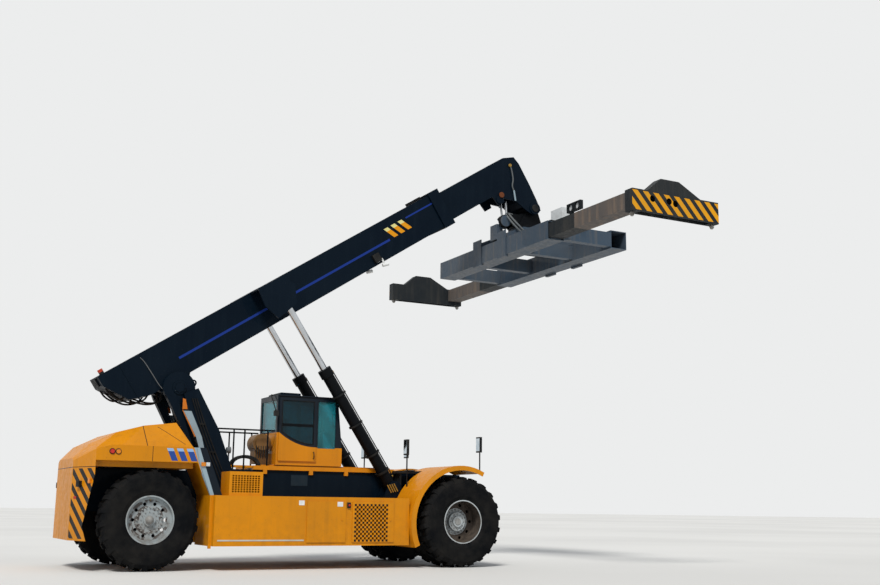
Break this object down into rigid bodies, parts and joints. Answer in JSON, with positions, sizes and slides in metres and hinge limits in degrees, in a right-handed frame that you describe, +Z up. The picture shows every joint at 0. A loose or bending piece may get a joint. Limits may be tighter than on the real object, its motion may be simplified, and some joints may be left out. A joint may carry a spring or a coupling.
{
  "type": "reach stacker",
  "caption": "Wheeled container handler with a telescopic luffing boom, lift cylinders, a slewing extendable top spreader, a sliding cab and steered rear wheels.",
  "frame": {"origin": "middle of the whole object's box, on the floor", "axes": "+X forward from the tail to the spreader, +Y to the driver's left, +Z up"},
  "size_m": [12.8, 12.265, 10.6236],
  "materials": {
    "yellow_paint": "satin orange-yellow machine paint",
    "navy_paint": "satin dark navy machine paint",
    "black_paint": "satin black paint",
    "grey_paint": "weathered grey paint",
    "tyre": "worn black rubber with deep lugs",
    "wheel_metal": "weathered silver paint",
    "cab_glass": "teal tinted glass",
    "engine_iron": "cast iron",
    "dark_plastic": "matt dark plastic",
    "chrome_rod": "bright chrome",
    "lamp_red": "red and amber lens",
    "lock_steel": "worn steel"
  },
  "bodies": {
    "chassis": {"chassis_frame": "navy_paint", "boom_towers": "navy_paint", "counterweight": "yellow_paint", "engine_hood": "yellow_paint", "rear_fenders": "yellow_paint", "side_box_right": "yellow_paint", "locker_frame": "yellow_paint", "side_box_left": "yellow_paint", "front_fenders": "yellow_paint", "deck": "yellow_paint", "handrails": "black_paint", "engine_block": "engine_iron", "front_axle": "navy_paint", "rear_axle": "navy_paint", "mirrors": "dark_plastic", "body_lamps": "lamp_red", "cable_chain": "dark_plastic", "step_box": "yellow_paint", "lift_feet": "navy_paint"},
    "front_wheels_right": {"front_tyres_right": "tyre", "front_rims_right": "wheel_metal"},
    "front_wheels_left": {"front_tyres_left": "tyre", "front_rims_left": "wheel_metal"},
    "knuckle_right": {"knuckle_right": "black_paint"},
    "knuckle_left": {"knuckle_left": "black_paint"},
    "rear_wheel_right": {"rear_tyre_right": "tyre", "rear_rim_right": "wheel_metal"},
    "rear_wheel_left": {"rear_tyre_left": "tyre", "rear_rim_left": "wheel_metal"},
    "cab": {"cab_shell": "yellow_paint", "cab_glass": "cab_glass", "cab_interior": "dark_plastic", "cab_unit": "yellow_paint"},
    "cab_door": {"cab_door": "black_paint", "cab_door_glass": "cab_glass"},
    "service_door": {"service_door": "yellow_paint"},
    "mesh_door": {"mesh_door": "yellow_paint"},
    "boom": {"boom_outer": "navy_paint", "boom_fittings": "dark_plastic"},
    "inner_boom": {"boom_inner": "navy_paint", "boom_head": "navy_paint"},
    "lift_barrel_right": {"lift_barrel_right": "black_paint"},
    "lift_barrel_left": {"lift_barrel_left": "black_paint"},
    "lift_rod_right": {"lift_rod_right": "chrome_rod"},
    "lift_rod_left": {"lift_rod_left": "chrome_rod"},
    "damper_barrels": {"damper_barrels": "black_paint"},
    "damper_rods": {"damper_rods": "chrome_rod"},
    "head_yoke": {"head_yoke": "black_paint"},
    "slew_carriage": {"slew_carriage": "grey_paint", "hose_drum": "grey_paint"},
    "spreader": {"spreader_frame": "grey_paint", "spreader_gear": "grey_paint"},
    "beam_right": {"beam_right": "grey_paint"},
    "beam_left": {"beam_left": "grey_paint"},
    "twistlock_right_rear": {"twistlock_right_rear": "lock_steel"},
    "twistlock_right_front": {"twistlock_right_front": "lock_steel"},
    "twistlock_left_rear": {"twistlock_left_rear": "lock_steel"},
    "twistlock_left_front": {"twistlock_left_front": "lock_steel"}
  },
  "joints": [
    {"name": "front_wheels_right_spin", "type": "hinge", "parent": "chassis", "child": "front_wheels_right", "pos_m": [2.09998, 0, 1.02], "axis": [0, 1, 0], "continuous": true},
    {"name": "front_wheels_left_spin", "type": "hinge", "parent": "chassis", "child": "front_wheels_left", "pos_m": [2.09998, 0, 1.02], "axis": [0, 1, 0], "continuous": true},
    {"name": "steer_right", "type": "hinge", "parent": "chassis", "child": "knuckle_right", "pos_m": [-4.95002, -1.25, 1.02], "axis": [0, 0, 1], "range_deg": [-45, 45]},
    {"name": "rear_wheel_right_spin", "type": "hinge", "parent": "knuckle_right", "child": "rear_wheel_right", "pos_m": [-4.95002, 0, 1.02], "axis": [0, 1, 0], "continuous": true},
    {"name": "steer_left", "type": "hinge", "parent": "chassis", "child": "knuckle_left", "pos_m": [-4.95002, 1.25, 1.02], "axis": [0, 0, 1], "range_deg": [-45, 45]},
    {"name": "rear_wheel_left_spin", "type": "hinge", "parent": "knuckle_left", "child": "rear_wheel_left", "pos_m": [-4.95002, 0, 1.02], "axis": [0, 1, 0], "continuous": true},
    {"name": "cab_slide", "type": "slide", "parent": "chassis", "child": "cab", "axis": [-1, 0, 0], "range_m": [-1.1, 0]},
    {"name": "cab_door_hinge", "type": "hinge", "parent": "cab", "child": "cab_door", "pos_m": [-1.91002, -0.6253, 3.04], "axis": [0, 0, -1], "range_deg": [0, 85]},
    {"name": "service_door_hinge", "type": "hinge", "parent": "chassis", "child": "service_door", "pos_m": [-1.68002, -1.9723, 1], "axis": [0, 0, -1], "range_deg": [0, 110]},
    {"name": "mesh_door_hinge", "type": "hinge", "parent": "chassis", "child": "mesh_door", "pos_m": [-0.62002, -1.9723, 1], "axis": [0, 0, -1], "range_deg": [0, 110]},
    {"name": "boom_luff", "type": "hinge", "parent": "chassis", "child": "boom", "pos_m": [-4.22002, 0, 3.85], "axis": [0, -1, 0], "range_deg": [-29, 24.5]},
    {"name": "boom_telescope", "type": "slide", "parent": "boom", "child": "inner_boom", "axis": [-0.8358, 0, -0.549], "range_m": [-5.8, 0.95]},
    {"name": "lift_barrel_right_swing", "type": "hinge", "parent": "chassis", "child": "lift_barrel_right", "pos_m": [0.83998, -0.85, 1.775], "axis": [0, -1, 0], "range_deg": [-2.6, 2.2]},
    {"name": "lift_rod_right_slide", "type": "slide", "parent": "lift_barrel_right", "child": "lift_rod_right", "axis": [-0.5572, 0, 0.8304], "range_m": [-1.5371, 1.3031]},
    {"name": "lift_barrel_left_swing", "type": "hinge", "parent": "chassis", "child": "lift_barrel_left", "pos_m": [0.83998, 0.85, 1.775], "axis": [0, -1, 0], "range_deg": [-2.6, 2.2]},
    {"name": "lift_rod_left_slide", "type": "slide", "parent": "lift_barrel_left", "child": "lift_rod_left", "axis": [-0.5572, 0, 0.8304], "range_m": [-1.5371, 1.3031]},
    {"name": "head_pitch", "type": "hinge", "parent": "inner_boom", "child": "head_yoke", "pos_m": [5.18052, 0, 9.28321], "axis": [0, -1, 0], "range_deg": [-25.5, 30]},
    {"name": "damper_swing", "type": "hinge", "parent": "inner_boom", "child": "damper_barrels", "pos_m": [4.29674, 0, 10.44649], "axis": [0, -1, 0], "range_deg": [-3.61, 4.25]},
    {"name": "damper_slide", "type": "slide", "parent": "damper_barrels", "child": "damper_rods", "axis": [0.1067, 0, -0.9943], "range_m": [-0.3208, 0.3783]},
    {"name": "slew", "type": "hinge", "parent": "head_yoke", "child": "slew_carriage", "pos_m": [5.18052, 0, 8.68321], "axis": [0, 0, 1], "range_deg": [-50, 20]},
    {"name": "side_shift", "type": "slide", "parent": "slew_carriage", "child": "spreader", "axis": [0, 1, 0], "range_m": [-0.8, 0.8]},
    {"name": "beam_right_slide", "type": "slide", "parent": "spreader", "child": "beam_right", "axis": [0, 1, 0], "range_m": [0, 3.066]},
    {"name": "beam_left_slide", "type": "slide", "parent": "spreader", "child": "beam_left", "axis": [0, -1, 0], "range_m": [0, 3.066]},
    {"name": "twistlock_right_rear_turn", "type": "hinge", "parent": "beam_right", "child": "twistlock_right_rear", "pos_m": [4.05102, -5.9925, 7.7], "axis": [0, 0, 1], "range_deg": [0, 90]},
    {"name": "twistlock_right_front_turn", "type": "hinge", "parent": "beam_right", "child": "twistlock_right_front", "pos_m": [6.31002, -5.9925, 7.7], "axis": [0, 0, 1], "range_deg": [0, 90]},
    {"name": "twistlock_left_rear_turn", "type": "hinge", "parent": "beam_left", "child": "twistlock_left_rear", "pos_m": [4.05102, 5.9925, 7.7], "axis": [0, 0, 1], "range_deg": [0, 90]},
    {"name": "twistlock_left_front_turn", "type": "hinge", "parent": "beam_left", "child": "twistlock_left_front", "pos_m": [6.31002, 5.9925, 7.7], "axis": [0, 0, 1], "range_deg": [0, 90]}
  ],
  "couplings": [
    {"joint": "steer_left", "follows": "steer_right", "ratio": 1},
    {"joint": "lift_barrel_right_swing", "follows": "boom_luff", "ratio": 0.088},
    {"joint": "lift_rod_right_slide", "follows": "boom_luff", "m_per_rad": 2.98},
    {"joint": "lift_barrel_left_swing", "follows": "boom_luff", "ratio": 0.088},
    {"joint": "lift_rod_left_slide", "follows": "boom_luff", "m_per_rad": 2.98},
    {"joint": "head_pitch", "follows": "boom_luff", "ratio": -1},
    {"joint": "damper_swing", "follows": "boom_luff", "ratio": -0.144},
    {"joint": "damper_slide", "follows": "boom_luff", "m_per_rad": -0.732},
    {"joint": "beam_left_slide", "follows": "beam_right_slide", "ratio": 1},
    {"joint": "twistlock_right_front_turn", "follows": "twistlock_right_rear_turn", "ratio": 1},
    {"joint": "twistlock_left_rear_turn", "follows": "twistlock_right_rear_turn", "ratio": 1},
    {"joint": "twistlock_left_front_turn", "follows": "twistlock_right_rear_turn", "ratio": 1}
  ]
}
